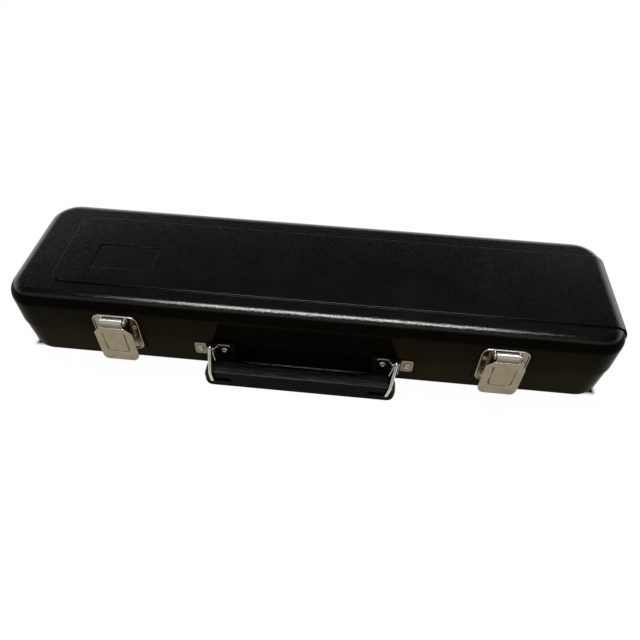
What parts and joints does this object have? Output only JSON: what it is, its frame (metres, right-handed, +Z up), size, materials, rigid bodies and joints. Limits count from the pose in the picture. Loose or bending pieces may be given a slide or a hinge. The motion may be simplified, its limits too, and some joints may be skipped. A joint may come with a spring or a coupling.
{
  "type": "flute case",
  "caption": "Long narrow moulded case with a hinged lid, two front snap latches, a swinging carrying handle and a plush tray with wells.",
  "frame": {"origin": "middle of the flat bottom of the base, where the case stands on a table", "axes": "+X along the case to the end that the raised panel runs over, -Y to the front with the latches and the handle, +Z up"},
  "size_m": [0.414, 0.1289, 0.0588],
  "materials": {
    "moulded_shell": "black moulded plastic with a fine pebble grain and a soft sheen",
    "moulded_handle": "black moulded plastic, smoother than the shells, with worn lines along the top",
    "nickel_plate": "bright nickel plate, lightly dulled and scratched",
    "steel_pin": "drawn steel wire",
    "plush_lining": "short-pile plush, dark blue"
  },
  "bodies": {
    "base": {"base_shell": "moulded_shell", "base_tray": "plush_lining", "hinge_pin_left": "steel_pin", "hinge_pin_right": "steel_pin", "catch_plate_left": "nickel_plate", "catch_plate_right": "nickel_plate", "catch_rivets": "nickel_plate", "handle_bracket_left": "nickel_plate", "handle_bracket_right": "nickel_plate", "bracket_rivets": "nickel_plate"},
    "lid": {"lid_shell": "moulded_shell", "lid_pad": "plush_lining", "keeper_plate_left": "nickel_plate", "keeper_plate_right": "nickel_plate", "keeper_rivets": "nickel_plate", "lever_pin_left": "steel_pin", "lever_pin_right": "steel_pin"},
    "latch_left": {"latch_lever_left": "nickel_plate"},
    "latch_right": {"latch_lever_right": "nickel_plate"},
    "link_left": {"handle_link_left": "nickel_plate"},
    "link_right": {"handle_link_right": "nickel_plate"},
    "handle": {"handle_grip": "moulded_handle"}
  },
  "joints": [
    {"name": "lid_hinge", "type": "hinge", "parent": "base", "child": "lid", "pos_m": [0, 0.05565, 0.028], "axis": [-1, 0, 0], "range_deg": [0, 105]},
    {"name": "latch_left_lever", "type": "hinge", "parent": "lid", "child": "latch_left", "pos_m": [-0.1293, -0.05655, 0.045], "axis": [-1, 0, 0], "range_deg": [-4, 125]},
    {"name": "latch_right_lever", "type": "hinge", "parent": "lid", "child": "latch_right", "pos_m": [0.1293, -0.05655, 0.045], "axis": [-1, 0, 0], "range_deg": [-4, 125]},
    {"name": "link_left_swing", "type": "hinge", "parent": "base", "child": "link_left", "pos_m": [-0.0653, -0.05675, 0.0262], "axis": [-1, 0, 0], "range_deg": [0, 110]},
    {"name": "link_right_swing", "type": "hinge", "parent": "base", "child": "link_right", "pos_m": [0.0599, -0.05675, 0.0262], "axis": [-1, 0, 0], "range_deg": [-2, 112]},
    {"name": "handle_tilt", "type": "hinge", "parent": "link_left", "child": "handle", "pos_m": [-0.004, -0.0622, 0.007], "axis": [-1, 0, 0], "range_deg": [-3, 3]}
  ],
  "couplings": [
    {"joint": "link_right_swing", "follows": "link_left_swing", "ratio": 1}
  ]
}
